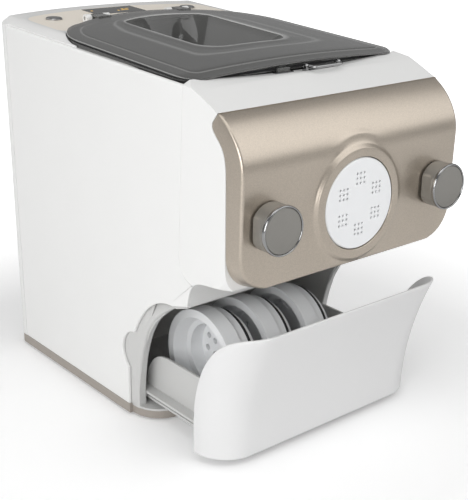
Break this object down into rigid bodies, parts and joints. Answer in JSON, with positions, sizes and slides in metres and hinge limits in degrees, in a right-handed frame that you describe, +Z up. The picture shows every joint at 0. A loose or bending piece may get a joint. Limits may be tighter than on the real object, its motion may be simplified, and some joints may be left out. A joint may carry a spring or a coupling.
{
  "type": "electric pasta maker",
  "caption": "Counter-top pasta machine with a tilting smoke lid, stirring and feeding screw, screwed-on extruding front and a pull-out drawer that stores shaping discs.",
  "frame": {"origin": "centre of the bounding box's bottom face, on the plane of the feet, with the drawer open as stored", "axes": "+Z up; the front with disc and knobs faces -Y; +X is the machine's left-to-right when seen from the front"},
  "size_m": [0.215, 0.356, 0.3049],
  "materials": {
    "white_shell": "satin white moulding",
    "white_drawer": "satin white moulding",
    "grey_liner": "fine matte moulding",
    "taupe_skirt": "matte moulding",
    "champagne": "fine metallic paint, satin",
    "smoke": "clear smoke moulding",
    "knob_grey": "satin moulding",
    "chrome": "bright plated",
    "steel": "machined",
    "brass": "turned",
    "black_rubber": "moulded",
    "black_plastic": "gloss",
    "beige": "printed film",
    "disc_white": "satin moulding",
    "nylon": "moulded",
    "board": "solder mask"
  },
  "bodies": {
    "housing": {"base_plate": "taupe_skirt", "rubber_feet": "black_rubber", "load_cells": "steel", "left_side_panel": "white_shell", "right_side_panel": "white_shell", "rear_cover": "white_shell", "top_deck": "white_shell", "nose_housing": "white_shell", "drawer_bay": "grey_liner", "control_inlay": "beige", "display_window": "black_plastic", "control_board": "board", "mixing_chamber": "smoke", "chamber_seal": "black_rubber", "hinge_pins": "steel", "latch_bracket": "chrome", "lid_switch": "black_plastic", "threaded_inserts": "brass", "motor_can": "steel", "gearbox_front_plate": "steel", "gearbox_rear_plate": "steel", "gearbox_spacers": "steel", "gear_axles": "steel", "bushes": "brass", "shaft_seal": "black_rubber", "power_board": "board", "cord_gland": "black_rubber", "base_screws": "steel"},
    "lid": {"lid": "smoke"},
    "latch": {"latch_bail": "chrome"},
    "power_button": {"power_button": "chrome"},
    "start_button": {"start_button": "chrome"},
    "drawer": {"drawer_front": "white_drawer", "disc_tray": "grey_liner", "stored_disc_a": "disc_white", "stored_disc_b": "disc_white", "stored_disc_c": "disc_white", "disc_gaskets": "black_rubber"},
    "tube": {"extruder_tube": "steel"},
    "disc": {"mounted_disc": "disc_white"},
    "panel": {"front_panel": "champagne"},
    "knob_left": {"left_knob": "knob_grey", "left_knob_ring": "chrome", "left_knob_stud": "steel"},
    "knob_right": {"right_knob": "knob_grey", "right_knob_ring": "chrome", "right_knob_stud": "steel"},
    "rotor": {"rotor_shaft": "steel", "cooling_fan": "nylon", "motor_pinion": "brass"},
    "first_gear": {"gear_a": "nylon"},
    "second_gear": {"gear_b": "nylon"},
    "stirrer": {"drive_shaft": "steel", "output_gear": "nylon", "stirring_paddle": "nylon", "feed_auger": "nylon"}
  },
  "joints": [
    {"name": "lid_hinge", "type": "hinge", "parent": "housing", "child": "lid", "pos_m": [0, 0.11, 0.30117], "axis": [-1, 0, 0], "range_deg": [0, 100]},
    {"name": "catch_hinge", "type": "hinge", "parent": "housing", "child": "latch", "pos_m": [0.015, -0.106, 0.2856], "axis": [-1, 0, 0], "range_deg": [0, 95]},
    {"name": "power_press", "type": "slide", "parent": "housing", "child": "power_button", "axis": [0, 0.0584, -0.9983], "range_m": [0, 0.0015], "stiffness_N_per_m": 300},
    {"name": "start_press", "type": "slide", "parent": "housing", "child": "start_button", "axis": [0, 0.0584, -0.9983], "range_m": [0, 0.0015], "stiffness_N_per_m": 300},
    {"name": "drawer_slide", "type": "slide", "parent": "housing", "child": "drawer", "axis": [0, -1, 0], "range_m": [-0.085, 0]},
    {"name": "tube_slide", "type": "slide", "parent": "housing", "child": "tube", "axis": [0, -1, 0], "range_m": [0, 0.04]},
    {"name": "disc_slide", "type": "slide", "parent": "tube", "child": "disc", "axis": [0, -1, 0], "range_m": [0, 0.035]},
    {"name": "panel_slide", "type": "slide", "parent": "disc", "child": "panel", "axis": [0, -1, 0], "range_m": [0, 0.035]},
    {"name": "left_knob_turn", "type": "hinge", "parent": "panel", "child": "knob_left", "pos_m": [-0.084, -0.1665, 0.1955], "axis": [0, -1, 0], "continuous": true},
    {"name": "right_knob_turn", "type": "hinge", "parent": "panel", "child": "knob_right", "pos_m": [0.084, -0.1665, 0.1955], "axis": [0, -1, 0], "continuous": true},
    {"name": "motor_turn", "type": "hinge", "parent": "housing", "child": "rotor", "pos_m": [0, 0.118, 0.0825], "axis": [0, -1, 0], "continuous": true},
    {"name": "first_gear_turn", "type": "hinge", "parent": "housing", "child": "first_gear", "pos_m": [0, 0.138, 0.11875], "axis": [0, -1, 0], "continuous": true},
    {"name": "second_gear_turn", "type": "hinge", "parent": "housing", "child": "second_gear", "pos_m": [0, 0.148, 0.1555], "axis": [0, -1, 0], "continuous": true},
    {"name": "stirrer_turn", "type": "hinge", "parent": "housing", "child": "stirrer", "pos_m": [0, 0.1, 0.1955], "axis": [0, -1, 0], "continuous": true}
  ],
  "couplings": [
    {"joint": "first_gear_turn", "follows": "motor_turn", "ratio": -0.20833},
    {"joint": "second_gear_turn", "follows": "motor_turn", "ratio": 0.060307},
    {"joint": "stirrer_turn", "follows": "motor_turn", "ratio": -0.020102}
  ]
}
